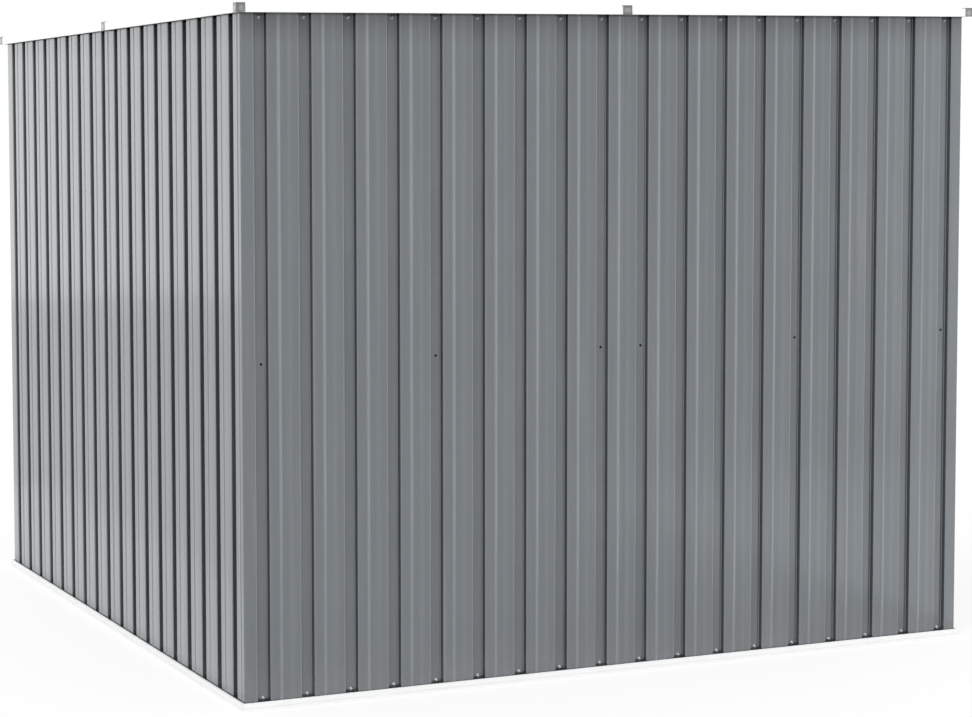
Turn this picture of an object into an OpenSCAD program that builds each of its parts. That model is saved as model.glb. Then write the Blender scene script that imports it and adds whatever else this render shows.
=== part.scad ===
// Single-slope sheet-steel storage shed.
// The four walls stand on a frame of base rails, which is open underneath.
// X runs along the front and back walls, Y from the front to the back, Z up from the ground.
// The back wall is the high one, and a pair of sliding doors fills the middle of the front wall.

/* [Overall] */
// Width of the front and back walls, over the flat crowns of their sheets
wall_w = 1913; // [1500:1:2600]
// Width of the side walls, over the flat crowns of their sheets
wall_d = 1947; // [1500:1:2600]
// Height of the front wall that shows between its base rail and the roof trim
front_h = 1484; // [1200:1:2200]
// How much higher the back wall is than the front wall
roof_drop = 66; // [30:1:200]

/* [Ribbed sheet] */
// Distance from one recess to the next
rib_pitch = 107; // [90:1:150]
// Width of a recess between its two crown edges
recess_w = 30; // [22:1:40]
// Depth of a recess
rib_depth = 12; // [8:0.5:18]
// How far a recess's side leans over its depth
slope_run = 1.2; // [0.5:0.1:6]
// Smallest flat left at the end of a sheet
min_margin = 25; // [20:1:30]
// Largest flat at the outer ends of a wall or roof of two sheets: the rest lies where they meet
max_margin = 50; // [45:1:55]
// From a recess to the middle of the small bead beside it
bead_at = 27; // [20:1:34]
// Width of the bead
bead_w = 8; // [5:1:10]
// Height of the bead
bead_h = 2; // [1:0.5:3]
// Thickness of the ribbed sheet
sheet_t = 1; // [0.6:0.1:1.4]

/* [Frame] */
// Thickness of the folded frame sections
frame_t = 1.5; // [1:0.1:2.5]
// Height of the base rails' outer lip
base_lip_h = 20; // [16:1:40]
// How far the base rails stand out beyond the crowns
base_out = 7; // [5:0.5:12]
// Height of the base rails' inner upstand
upstand_h = 45; // [40:1:70]
// How far the base rails' anchor flange reaches in behind the crowns
anchor_in = 62; // [55:1:90]
// Diameter of the anchor holes
anchor_d = 10; // [6:1:12]
// Distance of the anchor holes from the ends of a wall
anchor_inset = 260; // [150:10:400]
// Length of each leg of the corner posts
post_leg = 60; // [50:1:80]
// Height of the rails that run inside the walls
rail_h = 40; // [30:1:60]
// Width of the rails' flanges
rail_w = 25; // [18:1:35]
// Height of the middle of the mid rails above the ground
mid_rail_z = 779; // [500:1:1000]

/* [Roof] */
// How far the roof trim stands out beyond the front and back walls
eaves_out = 20; // [14:1:30]
// How far the roof trim stands out beyond the side walls
verge_out = 15; // [14:1:30]
// How far the roof trim's lower lip hangs below the roof sheets
trim_drop = 2.3; // [1:0.1:20]
// Thickness of the roof trim
trim_t = 1.2; // [1:0.1:2]
// Width of the trim's flange on top of the roof
trim_flange = 30; // [20:1:45]
// Width of the trim's return underneath
trim_return = 8; // [5:1:10]
// Gap between the two lengths of trim on each side
trim_joint = 2; // [1:0.5:4]
// Thickness of the corner caps and joint covers
cap_t = 1.2; // [1:0.1:2]
// Length of a corner cap's legs
cap_leg = 20; // [14:1:40]
// Width of a joint cover
cover_w = 24; // [16:1:40]

/* [Doors] */
// Width of the doorway
door_open_w = 960; // [700:1:1100]
// Height of the header between the doorway and the roof trim
header_h = 60; // [45:1:120]
// How far the doors reach in behind the wall sheets beside them
door_overlap = 25; // [15:1:40]
// How far the doors lie behind the crowns of the wall
door_back = 22; // [21:1:26]
// Gap between the two doors
door_gap = 3; // [2:0.5:6]
// Gap between a sliding door and the jamb trim that it passes
run_gap = 3; // [2:0.5:4]
// Width of the jamb trims' face
jamb_w = 25; // [20:1:30]
// Height of the handles' middle above the ground
handle_z = 850; // [600:1:1100]
// Length of a handle
handle_l = 130; // [80:1:200]
// Width of a handle
handle_w = 20; // [14:1:24]
// How far a handle stands out from its door
handle_out = 16; // [10:1:20]

/* [Hidden] */

$fn = 48;
// Clearance between a piece and what it sits on or against
fit = 0.3;
// Length that a cutting shape runs past what it cuts
over = 1;

// The walls, in turn round the shed
FRONT = 0;
RIGHT = 1;
BACK = 2;
LEFT = 3;

slope = atan(roof_drop / wall_d);
// Depth behind the crowns at which the frame lies against the recesses
frame_at = rib_depth + sheet_t + fit;
// Top of the roof trim to the crowns of the roof sheets, whose beads pass under the trim
crown_down = trim_t + fit + bead_h;
// Top of the roof trim to the underside of the roof sheets' recesses
roof_stack = crown_down + rib_depth + sheet_t;
trim_h = roof_stack + trim_drop + trim_t;
// Outer size of the roof trim, measured in the roof's own slope
roof_w = wall_w + 2 * verge_out;
roof_l = (wall_d + 2 * eaves_out) / cos(slope);
// Height of the trim's top over the middle of the shed
roof_mid_z = base_lip_h + front_h + roof_drop / 2 + trim_h / cos(slope);
// Keeps the tilted roof centred over the base
roof_shift = -trim_h * sin(slope) / 2;
// Depth behind the crowns to which the channel over the doors reaches
track_in = door_back + rib_depth + sheet_t + frame_at + frame_t;
header_z = base_lip_h + front_h - header_h;
door_w = door_open_w / 2 - door_gap / 2 + door_overlap;
cap_out = fit + cap_t;

WALL_COLOUR = [0.50, 0.51, 0.53];
TRIM_COLOUR = [0.95, 0.95, 0.94];
FRAME_COLOUR = [0.72, 0.73, 0.74];
CAP_COLOUR = [0.56, 0.57, 0.58];
HANDLE_COLOUR = [0.20, 0.21, 0.22];

// ---- Places ----

function wall_len(side) = side % 2 == 0 ? wall_w : wall_d;
function wall_dist(side) = (side % 2 == 0 ? wall_d : wall_w) / 2;
function roof_len(side) = side % 2 == 0 ? roof_w : roof_l;
function roof_dist(side) = (side % 2 == 0 ? roof_l : roof_w) / 2;

// Height of the roof sheets' underside over a line y across the shed
function roof_under(y) = roof_mid_z + y * tan(slope) - roof_stack / cos(slope);
// Height of the underside of the top rails that follow the roof
function sloping_rail_z(y) = roof_under(y) - (fit + rail_h) / cos(slope);
// Depth of the level top rails: the front one is also the channel that the doors hang in
function level_rail_w(side) = side == FRONT ? track_in - frame_at : rail_w;
// Height of their underside, below the lowest part of the roof that they carry
function level_rail_z(side) =
    roof_under(side == FRONT ? -wall_d / 2 + frame_at : wall_d / 2 - frame_at - rail_w) - fit - rail_h;

// Stands a piece in a wall: x to the right as seen from outside, y inwards from the crowns
module on_wall(side)
    rotate([0, 0, 90 * side]) translate([0, -wall_dist(side), 0]) children();

// Lays a piece on the sloping roof: z = 0 is the top of the roof trim
module on_roof()
    translate([0, roof_shift, roof_mid_z]) rotate([slope, 0, 0]) children();

// Lays a piece along one edge of the roof: y inwards from the outer face of the trim
module on_eave(side)
    on_roof() rotate([0, 0, 90 * side]) translate([0, -roof_dist(side), 0]) children();

// Everything above the underside of the roof sheets
module above_roof_sheets()
    on_roof() translate([-roof_w, -roof_l, -roof_stack - fit]) cube([2 * roof_w, 2 * roof_l, roof_w]);

// ---- Ribbed sheet ----

function rib_count(width, step) =
    step * floor((width - 2 * min_margin - recess_w + rib_pitch) / (step * rib_pitch));
function rib_spread(count) = (count - 1) * rib_pitch + recess_w;

// Left edges of the recesses of one sheet, spaced about its middle
function centred_ribs(width) =
    let (count = rib_count(width, 1))
    [for (i = [0:count - 1]) i * rib_pitch - rib_spread(count) / 2];

// Left edges of the recesses of two sheets that meet at x = 0, counted in from their outer ends
function paired_ribs(width) =
    let (count = rib_count(width, 2), flat = min(max_margin, (width - rib_spread(count)) / 2))
    [for (i = [0:count - 1])
        i * rib_pitch + (i < count / 2 ? flat - width / 2 : width / 2 - flat - rib_spread(count))];

function recess_path(x) = [
    [x, 0], [x + slope_run, rib_depth],
    [x + recess_w - slope_run, rib_depth], [x + recess_w, 0],
];
function bead_path(x) = [for (a = [0:45:180]) [x - bead_w / 2 * cos(a), -bead_h * sin(a)]];

// Outer face of a sheet from one x to another, with those of the recesses that lie between.
// A bead follows each recess where it stays clear of the sheet's end.
function ribbed_path(ribs, from, to, end_clear = 2) = concat(
    [[from, 0]],
    [for (x = ribs)
        let (bead = x + recess_w + bead_at)
        if (x > from && x + recess_w < to)
            each concat(recess_path(x), bead + bead_w / 2 < to - end_clear ? bead_path(bead) : [])],
    [[to, 0]]);

function left_normal(a, b) = let (d = (b - a) / norm(b - a)) [-d.y, d.x];

// How a sheet's end is cut: square, slanted to meet the next wall, or folded back
SQUARE = [0, 1];
MITRE = [1, 1];
FOLDED = [1, 0];

// Inner face of a sheet: each point of the path moved in by the thickness
function inner_path(path, t, start, end) =
    let (last = len(path) - 1)
    [for (i = [0:last])
        i == 0 ? path[0] + t * start :
        i == last ? path[last] + t * [-end.x, end.y] :
        let (n0 = left_normal(path[i - 1], path[i]), n1 = left_normal(path[i], path[i + 1]))
        path[i] + t * (n0 + n1) / (1 + n0 * n1)];

function reversed(list) = [for (i = [len(list) - 1:-1:0]) list[i]];

module folded_sheet(path, height, start = SQUARE, end = SQUARE)
    linear_extrude(height)
        polygon(concat(path, reversed(inner_path(path, sheet_t, start, end))));

// One wall sheet: stands in the base rail and ends under the roof sheets
module wall_panel(side, centre, path, start, end)
    color(WALL_COLOUR) difference() {
        on_wall(side) translate([centre, 0, frame_t + fit])
            folded_sheet(path, roof_mid_z + roof_drop, start, end);
        above_roof_sheets();
    }

// Half of a closed wall, whose two sheets meet in its middle
module half_wall(side, right_half) {
    width = wall_len(side);
    ribs = paired_ribs(width);
    if (right_half)
        wall_panel(side, 0, ribbed_path(ribs, fit / 2, width / 2), SQUARE, MITRE);
    else
        wall_panel(side, 0, ribbed_path(ribs, -width / 2, -fit / 2), MITRE, SQUARE);
}

// The wall sheet on one side of the doorway
module front_panel(right) {
    width = (wall_w - door_open_w) / 2;
    path = ribbed_path(centred_ribs(width), -width / 2, width / 2, jamb_w + fit);
    centre = (right ? 1 : -1) * (door_open_w + width) / 2;
    wall_panel(FRONT, centre, path, right ? SQUARE : MITRE, right ? MITRE : SQUARE);
}

// ---- Base and frame ----

// A bar along one side of a rectangle, cut at 45 degrees at both ends.
// Its section has x inwards from the bar's outer face and y up.
module mitred_bar(length, deep, tall)
    intersection() {
        translate([-length / 2, 0, 0]) rotate([90, 0, 90]) linear_extrude(length) children();
        translate([0, 0, -tall - over]) linear_extrude(2 * (tall + over)) polygon([
            [-length / 2, 0], [length / 2, 0], [length / 2 - deep, deep], [deep - length / 2, deep],
        ]);
    }

module base_section() {
    flange_w = base_out + anchor_in;
    ledge_w = base_out - bead_h - fit;
    square([flange_w, frame_t]);
    square([frame_t, base_lip_h]);
    translate([0, base_lip_h - frame_t]) square([ledge_w, frame_t]);
    translate([base_out + frame_at, 0]) square([frame_t, upstand_h]);
}

module base_rail(side)
    color(TRIM_COLOUR) difference() {
        on_wall(side) translate([0, -base_out, 0])
            mitred_bar(wall_len(side) + 2 * base_out, base_out + anchor_in, upstand_h) base_section();
        on_wall(side) for (x = [-1, 1])
            translate([x * (wall_len(side) / 2 - anchor_inset), anchor_in - anchor_d, -over])
                cylinder(d = anchor_d, h = frame_t + 2 * over);
        if (side == FRONT) on_wall(side)
            translate([-door_open_w / 2, rib_depth, frame_t]) cube([door_open_w, anchor_in, upstand_h]);
    }

// An angle whose two legs lie against the recesses of both walls
module corner_post(side, front) {
    bottom = upstand_h + fit;
    low_end = front ? -wall_d / 2 + frame_at : wall_d / 2 - frame_at - post_leg;
    height = min(level_rail_z(front ? FRONT : BACK), sloping_rail_z(low_end)) - fit - bottom;
    color(FRAME_COLOUR) on_wall(side)
        translate([-wall_len(side) / 2 + frame_at, frame_at, bottom]) difference() {
            cube([post_leg, post_leg, height]);
            translate([frame_t, frame_t, -over]) cube([post_leg, post_leg, height + 2 * over]);
        }
}

// A channel that opens towards the inside of the shed
module channel_section(width, height) difference() {
    square([width, height]);
    translate([frame_t, frame_t]) square([width, height - 2 * frame_t]);
}

// A channel that opens downwards
module track_section(width, height) difference() {
    square([width, height]);
    translate([frame_t, -over]) square([width - 2 * frame_t, height - frame_t + over]);
}

// Lays a section along a wall: its x becomes the depth and its y the height
module wall_bar(length, z)
    translate([-length / 2, frame_at, z]) rotate([90, 0, 90]) linear_extrude(length) children();

module mid_rail(side)
    color(FRAME_COLOUR) on_wall(side)
        wall_bar(wall_len(side) - 2 * (frame_at + post_leg + fit), mid_rail_z - rail_h / 2)
            channel_section(rail_w, rail_h);

module level_top_rail(side)
    color(FRAME_COLOUR) on_wall(side)
        wall_bar(wall_len(side) - 2 * frame_at, level_rail_z(side))
            if (side == FRONT) track_section(level_rail_w(side), rail_h);
            else channel_section(level_rail_w(side), rail_h);

// The side rails follow the roof, and end at the level rails in front and behind
module sloping_top_rail(side) {
    front_end = -wall_d / 2 + frame_at + level_rail_w(FRONT) + fit;
    back_end = wall_d / 2 - frame_at - level_rail_w(BACK) - fit;
    color(FRAME_COLOUR) intersection() {
        on_roof() rotate([0, 0, 90 * side]) translate([0, -wall_w / 2, -roof_stack - fit - rail_h])
            wall_bar(roof_l, 0) channel_section(rail_w, rail_h);
        translate([-wall_w, front_end, 0]) cube([2 * wall_w, back_end - front_end, 2 * roof_mid_z]);
    }
}

// ---- Front wall ----

module door_header() {
    top = roof_under(-wall_d / 2) - 2 * fit;
    return_w = door_open_w - 2 * fit;
    color(TRIM_COLOUR) on_wall(FRONT) {
        translate([-door_open_w / 2 - jamb_w, -fit - trim_t, header_z])
            cube([door_open_w + 2 * jamb_w, trim_t, top - header_z]);
        for (z = [header_z, top - trim_t])
            translate([-return_w / 2, -fit - over, z]) cube([return_w, frame_at + over, trim_t]);
    }
}

// White angle that covers the end of the wall sheet beside the doorway
module door_jamb(right) {
    bottom = base_lip_h + fit;
    height = header_z - fit - bottom;
    color(TRIM_COLOUR) on_wall(FRONT) mirror([right ? 0 : 1, 0, 0])
        translate([door_open_w / 2 - fit - trim_t, -fit - trim_t, bottom]) {
            cube([jamb_w + fit + trim_t, trim_t, height]);
            cube([trim_t, fit + trim_t + door_back - bead_h - run_gap, height]);
        }
}

// Ribbed leaf with its two upright edges folded back
module door_leaf(right) {
    bottom = frame_t + fit;
    height = level_rail_z(FRONT) + rail_h - frame_t - fit - bottom;
    face = ribbed_path(centred_ribs(door_w), -door_w / 2, door_w / 2, 2 * handle_w);
    path = concat([[-door_w / 2, rib_depth]], face, [[door_w / 2, rib_depth]]);
    color(WALL_COLOUR) on_wall(FRONT)
        translate([(right ? 1 : -1) * (door_w + door_gap) / 2, door_back, bottom])
            folded_sheet(path, height, FOLDED, FOLDED);
}

module door_handle(right)
    color(HANDLE_COLOUR) on_wall(FRONT)
        translate([(right ? 1 : -1) * (door_gap / 2 + handle_w), door_back - fit, handle_z])
            rotate([90, 0, 0]) linear_extrude(handle_out) {
                square([handle_w, handle_l - handle_w], center = true);
                for (z = [-1, 1]) translate([0, z * (handle_l - handle_w) / 2]) circle(d = handle_w);
            }

// ---- Roof ----

module roof_panel(right) {
    width = roof_w - 2 * (trim_t + fit);
    length = roof_l - 2 * (trim_t + fit);
    ribs = paired_ribs(width);
    path = right ? ribbed_path(ribs, fit / 2, width / 2) : ribbed_path(ribs, -width / 2, -fit / 2);
    color(WALL_COLOUR) on_roof() translate([0, length / 2, -crown_down])
        rotate([90, 0, 0]) mirror([0, 1, 0]) folded_sheet(path, length);
}

module roof_beam() {
    length = wall_w - 2 * (frame_at + rail_w + fit);
    color(FRAME_COLOUR) on_roof()
        translate([-length / 2, -rail_w / 2, -roof_stack - fit - rail_h])
            rotate([90, 0, 90]) linear_extrude(length) channel_section(rail_w, rail_h);
}

module trim_section() translate([0, -trim_h]) {
    square([trim_t, trim_h]);
    square([trim_return, trim_t]);
    translate([0, trim_h - trim_t]) square([trim_flange, trim_t]);
}

// Two lengths of trim along one edge of the roof, which meet under the joint cover
module roof_trim(side)
    color(TRIM_COLOUR) on_eave(side) difference() {
        mitred_bar(roof_len(side), trim_flange, trim_h) trim_section();
        translate([-trim_joint / 2, -over, -trim_h - over])
            cube([trim_joint, trim_flange + 2 * over, trim_h + 2 * over]);
    }

// Shell over the mitred corner of the trim, with a rounded outer edge
module corner_cap(side) {
    height = trim_h + cap_out;
    color(CAP_COLOUR) on_eave(side) translate([-roof_len(side) / 2, 0, 0]) difference() {
        translate([-cap_out, -cap_out, -trim_h]) linear_extrude(height) {
            translate([cap_out, 0]) square([cap_leg, cap_leg + cap_out]);
            translate([0, cap_out]) square([cap_leg + cap_out, cap_leg]);
            translate([cap_out, cap_out]) circle(r = cap_out);
        }
        translate([-fit, -fit, -trim_h - over]) cube([2 * cap_leg, 2 * cap_leg, trim_h + over + fit]);
    }
}

// Clip over the joint in the middle of one side's trim
module joint_cover(side)
    color(CAP_COLOUR) on_eave(side)
        translate([-cover_w / 2, 0, 0]) rotate([90, 0, 90]) linear_extrude(cover_w) difference() {
            translate([-cap_out, -trim_h - cap_out]) square([trim_return + cap_out, trim_h + 2 * cap_out]);
            translate([-fit, -trim_h - fit]) square([trim_return + cap_out, trim_h + 2 * fit]);
        }

base_rail(FRONT);  // base_rail_front
base_rail(RIGHT);  // base_rail_right
base_rail(BACK);  // base_rail_back
base_rail(LEFT);  // base_rail_left
corner_post(FRONT, true);  // corner_post_front_left
corner_post(RIGHT, true);  // corner_post_front_right
corner_post(BACK, false);  // corner_post_back_right
corner_post(LEFT, false);  // corner_post_back_left
mid_rail(RIGHT);  // mid_rail_right
mid_rail(BACK);  // mid_rail_back
mid_rail(LEFT);  // mid_rail_left
level_top_rail(FRONT);  // top_rail_front
sloping_top_rail(RIGHT);  // top_rail_right
level_top_rail(BACK);  // top_rail_back
sloping_top_rail(LEFT);  // top_rail_left
front_panel(false);  // front_panel_left
front_panel(true);  // front_panel_right
door_header();
door_jamb(false);  // door_jamb_left
door_jamb(true);  // door_jamb_right
half_wall(RIGHT, false);  // right_panel_front
half_wall(RIGHT, true);  // right_panel_back
half_wall(BACK, false);  // back_panel_right
half_wall(BACK, true);  // back_panel_left
half_wall(LEFT, false);  // left_panel_back
half_wall(LEFT, true);  // left_panel_front
door_leaf(false);  // door_left
door_leaf(true);  // door_right
door_handle(false);  // door_handle_left
door_handle(true);  // door_handle_right
roof_panel(false);  // roof_panel_left
roof_panel(true);  // roof_panel_right
roof_beam();
roof_trim(FRONT);  // roof_trim_front
roof_trim(RIGHT);  // roof_trim_right
roof_trim(BACK);  // roof_trim_back
roof_trim(LEFT);  // roof_trim_left
corner_cap(FRONT);  // corner_cap_front_left
corner_cap(RIGHT);  // corner_cap_front_right
corner_cap(BACK);  // corner_cap_back_right
corner_cap(LEFT);  // corner_cap_back_left
joint_cover(FRONT);  // joint_cover_front
joint_cover(RIGHT);  // joint_cover_right
joint_cover(BACK);  // joint_cover_back
joint_cover(LEFT);  // joint_cover_left
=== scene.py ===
"""Metal storage shed: ribbed grey sheets, white trims and rails, with the looks of painted steel."""

import math

import bmesh
import bpy
from mathutils import Matrix, Vector


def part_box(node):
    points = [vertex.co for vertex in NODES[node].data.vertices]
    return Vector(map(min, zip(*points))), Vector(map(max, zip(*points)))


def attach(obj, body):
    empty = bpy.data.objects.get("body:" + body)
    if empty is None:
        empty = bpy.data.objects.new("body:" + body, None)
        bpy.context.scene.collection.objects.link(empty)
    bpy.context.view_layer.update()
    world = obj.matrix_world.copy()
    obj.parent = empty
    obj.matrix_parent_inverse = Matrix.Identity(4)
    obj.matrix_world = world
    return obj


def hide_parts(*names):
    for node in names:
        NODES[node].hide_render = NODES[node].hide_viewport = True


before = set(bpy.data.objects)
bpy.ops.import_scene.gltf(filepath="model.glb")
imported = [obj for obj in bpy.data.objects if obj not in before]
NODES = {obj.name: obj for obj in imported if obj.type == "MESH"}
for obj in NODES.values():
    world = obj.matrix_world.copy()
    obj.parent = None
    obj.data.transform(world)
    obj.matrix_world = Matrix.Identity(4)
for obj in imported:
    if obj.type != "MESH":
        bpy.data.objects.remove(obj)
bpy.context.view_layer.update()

SCENE = bpy.context.scene

# ---- Sizes, in metres, the same as the construction's ----

WALL_W = 1.913
WALL_D = 1.947
FRONT_H = 1.484
ROOF_DROP = 0.066
BASE_LIP_H = 0.020

RIB_PITCH = 0.107
RECESS_W = 0.030
RIB_DEPTH = 0.012
SLOPE_RUN = 0.0012
MIN_MARGIN = 0.025
BEAD_AT = 0.027
BEAD_W = 0.008
BEAD_H = 0.002
SHEET_T = 0.001

FIT = 0.0003
FRAME_T = 0.0015
TRIM_T = 0.0012
TRIM_DROP = 0.0023
VERGE_OUT = 0.015
EAVES_OUT = 0.020
MID_RAIL_Z = 0.779

DOOR_OPEN_W = 0.960
DOOR_OVERLAP = 0.025
DOOR_BACK = 0.022
DOOR_GAP = 0.003
JAMB_W = 0.025
HANDLE_W = 0.020

SLOPE = math.atan(ROOF_DROP / WALL_D)
CROWN_DOWN = TRIM_T + FIT + BEAD_H
ROOF_STACK = CROWN_DOWN + RIB_DEPTH + SHEET_T
TRIM_H = ROOF_STACK + TRIM_DROP + TRIM_T
EAVES_Z = BASE_LIP_H + FRONT_H + ROOF_DROP / 2
ROOF_MID_Z = EAVES_Z + TRIM_H / math.cos(SLOPE)
ROOF_SHIFT = -TRIM_H * math.sin(SLOPE) / 2
ROOF_W = WALL_W + 2 * VERGE_OUT
ROOF_L = (WALL_D + 2 * EAVES_OUT) / math.cos(SLOPE)
DOOR_W = DOOR_OPEN_W / 2 - DOOR_GAP / 2 + DOOR_OVERLAP

# ---- Sizes that only the finished surface has ----

# Bending radii of the sheet at its folds, beads and outer corners
FOLD_R = 0.0022
BEAD_R = 0.0013
CORNER_R = 0.0045
# Height of the bead's softened top above the sheet, under its full height in the construction
BEAD_RISE = 0.0013
# A faint swelling of the crown before each recess: where it starts, peaks and ends, and how high it is
SWELL_X = (-0.032, -0.025, -0.016)
SWELL_H = 0.0003
# Shade is painted along the inner corners of a recess and thins out this far from them, to this part,
# and less of it is painted on the slopes
SHADE_REACH = 0.0065
SHADE_REST = 0.35
SHADE_SLOPE = 0.6
# How bright a highlight is painted on the crown's folds, left and right of a recess, and where it ends
HIGHLIGHT_LEFT = 0.8
HIGHLIGHT_RIGHT = 0.35
HIGHLIGHT_REACH = 0.0045
# Height that a wall sheet is drawn to, before its top follows the roof
UNCUT_TOP = 2.0

FRONT, RIGHT, BACK, LEFT = range(4)


def wall_matrix(side):
    """Stands a piece in a wall: x to the right as seen from outside, y inwards from the crowns."""
    distance = (WALL_D if side % 2 == 0 else WALL_W) / 2
    return Matrix.Rotation(math.radians(90) * side, 4, "Z") @ Matrix.Translation((0, -distance, 0))


def roof_matrix():
    """Lays a piece on the sloping roof: z = 0 is the top of the roof trim."""
    return Matrix.Translation((0, ROOF_SHIFT, ROOF_MID_Z)) @ Matrix.Rotation(SLOPE, 4, "X")


def roof_under(y):
    """Height of the roof sheets' underside over a line y across the shed."""
    return ROOF_MID_Z + y * math.tan(SLOPE) - ROOF_STACK / math.cos(SLOPE)


# ---- Node helpers ----


class Nodes:
    """A node tree with short ways to add and link nodes."""

    def __init__(self, tree):
        self.tree = tree
        self.column = 0
        self.output = None

    def add(self, kind, inputs=None, **settings):
        node = self.tree.nodes.new(kind)
        node.location = (self.column * 180, 0)
        self.column += 1
        for key, value in settings.items():
            setattr(node, key, value)
        for key, value in (inputs or {}).items():
            self.feed(node.inputs[key], value)
        return node

    def feed(self, socket, value):
        if isinstance(value, bpy.types.NodeSocket):
            self.tree.links.new(value, socket)
        else:
            socket.default_value = value

    def math(self, operation, a, b=0.0, clamp=False):
        node = self.add("ShaderNodeMath", operation=operation, use_clamp=clamp)
        self.feed(node.inputs[0], a)
        self.feed(node.inputs[1], b)
        return node.outputs[0]

    def mix_colour(self, factor, a, b, blend="MIX"):
        node = self.add("ShaderNodeMix", data_type="RGBA", blend_type=blend)
        self.feed(node.inputs["Factor"], factor)
        self.feed(node.inputs[6], a)
        self.feed(node.inputs[7], b)
        return node.outputs[2]

    def noise(self, vector, scale, detail=2.0, roughness=0.5):
        node = self.add("ShaderNodeTexNoise", {"Scale": scale, "Detail": detail, "Roughness": roughness})
        self.feed(node.inputs["Vector"], vector)
        return node.outputs["Fac"]

    def attribute(self, name):
        return self.add("ShaderNodeAttribute", attribute_name=name).outputs["Fac"]

    def stretched(self, vector, scale):
        node = self.add("ShaderNodeMapping", {"Scale": scale})
        self.feed(node.inputs["Vector"], vector)
        return node.outputs["Vector"]

    def remap(self, value, low, high, to_low=0.0, to_high=1.0):
        node = self.add("ShaderNodeMapRange", clamp=True)
        for key, item in zip(("Value", "From Min", "From Max", "To Min", "To Max"),
                             (value, low, high, to_low, to_high)):
            self.feed(node.inputs[key], item)
        return node.outputs["Result"]

    def group(self, tree, inputs=None):
        node = self.add("ShaderNodeGroup", node_tree=tree)
        for key, value in (inputs or {}).items():
            self.feed(node.inputs[key], value)
        return node


def new_group(name, inputs, outputs):
    """An empty node group with named sockets, as (its helper, its input node, its output node)."""
    tree = bpy.data.node_groups.new(name, "ShaderNodeTree")
    for socket, kind, value in inputs:
        made = tree.interface.new_socket(socket, in_out="INPUT", socket_type="NodeSocket" + kind)
        if value is not None:
            made.default_value = value
    for socket, kind in outputs:
        tree.interface.new_socket(socket, in_out="OUTPUT", socket_type="NodeSocket" + kind)
    nodes = Nodes(tree)
    return nodes, nodes.add("NodeGroupInput"), nodes.add("NodeGroupOutput")


# ---- Shared surface effects ----


def group_mottle():
    """Uneven paint: a broad cloudiness and a fine grain, as a factor about 1."""
    n, given, out = new_group(
        "Paint mottle",
        [("Vector", "Vector", None), ("Broad", "Float", 0.03), ("Fine", "Float", 0.02)],
        [("Factor", "Float")],
    )
    broad = n.math("SUBTRACT", n.noise(given.outputs["Vector"], 3.1, 3.0, 0.6), 0.5)
    fine = n.math("SUBTRACT", n.noise(given.outputs["Vector"], 420.0, 2.0, 0.6), 0.5)
    total = n.math("ADD", n.math("MULTIPLY", broad, given.outputs["Broad"]),
                   n.math("MULTIPLY", fine, given.outputs["Fine"]))
    n.feed(out.inputs["Factor"], n.math("ADD", n.math("MULTIPLY", total, 2.0), 1.0))
    return n.tree


def group_rolling_lines():
    """Faint lines that the rollers leave along a sheet, as a height and a mask."""
    n, given, out = new_group(
        "Rolling lines", [("Vector", "Vector", None)], [("Height", "Float"), ("Mask", "Float")]
    )
    lines = n.noise(n.stretched(given.outputs["Vector"], (1.0, 1.0, 0.012)), 160.0, 4.0, 0.65)
    broad = n.noise(n.stretched(given.outputs["Vector"], (1.0, 1.0, 0.05)), 26.0, 2.0, 0.5)
    total = n.math("ADD", n.math("MULTIPLY", lines, 0.45), n.math("MULTIPLY", broad, 0.9))
    n.feed(out.inputs["Height"], total)
    n.feed(out.inputs["Mask"], n.remap(lines, 0.38, 0.62))
    return n.tree


def group_orange_peel():
    """The fine waviness of sprayed or baked paint, as a height."""
    n, given, out = new_group(
        "Orange peel", [("Vector", "Vector", None), ("Scale", "Float", 450.0)], [("Height", "Float")]
    )
    fine = n.noise(given.outputs["Vector"], given.outputs["Scale"], 2.0, 0.55)
    dimple = n.noise(given.outputs["Vector"], n.math("MULTIPLY", given.outputs["Scale"], 0.22), 1.0, 0.5)
    n.feed(out.inputs["Height"], n.math("ADD", n.math("MULTIPLY", fine, 0.5), dimple))
    return n.tree


def group_edge_wear():
    """Where folded and cut edges have lost some of their finish, as a mask."""
    n, given, out = new_group(
        "Edge wear",
        [("Vector", "Vector", None), ("Radius", "Float", 0.0012), ("Amount", "Float", 0.5)],
        [("Mask", "Float")],
    )
    rounded = n.add("ShaderNodeBevel", {"Radius": given.outputs["Radius"]}, samples=4)
    true_normal = n.add("ShaderNodeNewGeometry").outputs["True Normal"]
    turned = n.add("ShaderNodeVectorMath", operation="DOT_PRODUCT")
    n.feed(turned.inputs[0], rounded.outputs["Normal"])
    n.feed(turned.inputs[1], true_normal)
    edge = n.remap(turned.outputs["Value"], 0.99, 0.86)
    patches = n.remap(n.noise(given.outputs["Vector"], 75.0, 4.0, 0.7), 0.42, 0.66)
    n.feed(out.inputs["Mask"],
           n.math("MULTIPLY", n.math("MULTIPLY", edge, patches), given.outputs["Amount"], clamp=True))
    return n.tree


def group_ground_dust():
    """Dust that gathers near the ground, as a mask that fades with height."""
    n, given, out = new_group(
        "Ground dust",
        [("Vector", "Vector", None), ("Reach", "Float", 0.25), ("Amount", "Float", 0.3)],
        [("Mask", "Float")],
    )
    height = n.add("ShaderNodeSeparateXYZ", {"Vector": given.outputs["Vector"]}).outputs["Z"]
    near = n.remap(height, 0.0, given.outputs["Reach"], 1.0, 0.0)
    clouds = n.remap(n.noise(given.outputs["Vector"], 14.0, 5.0, 0.65), 0.30, 0.75)
    settled = n.math("MULTIPLY", n.math("POWER", near, 2.0), clouds)
    n.feed(out.inputs["Mask"], n.math("MULTIPLY", settled, given.outputs["Amount"], clamp=True))
    return n.tree


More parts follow.
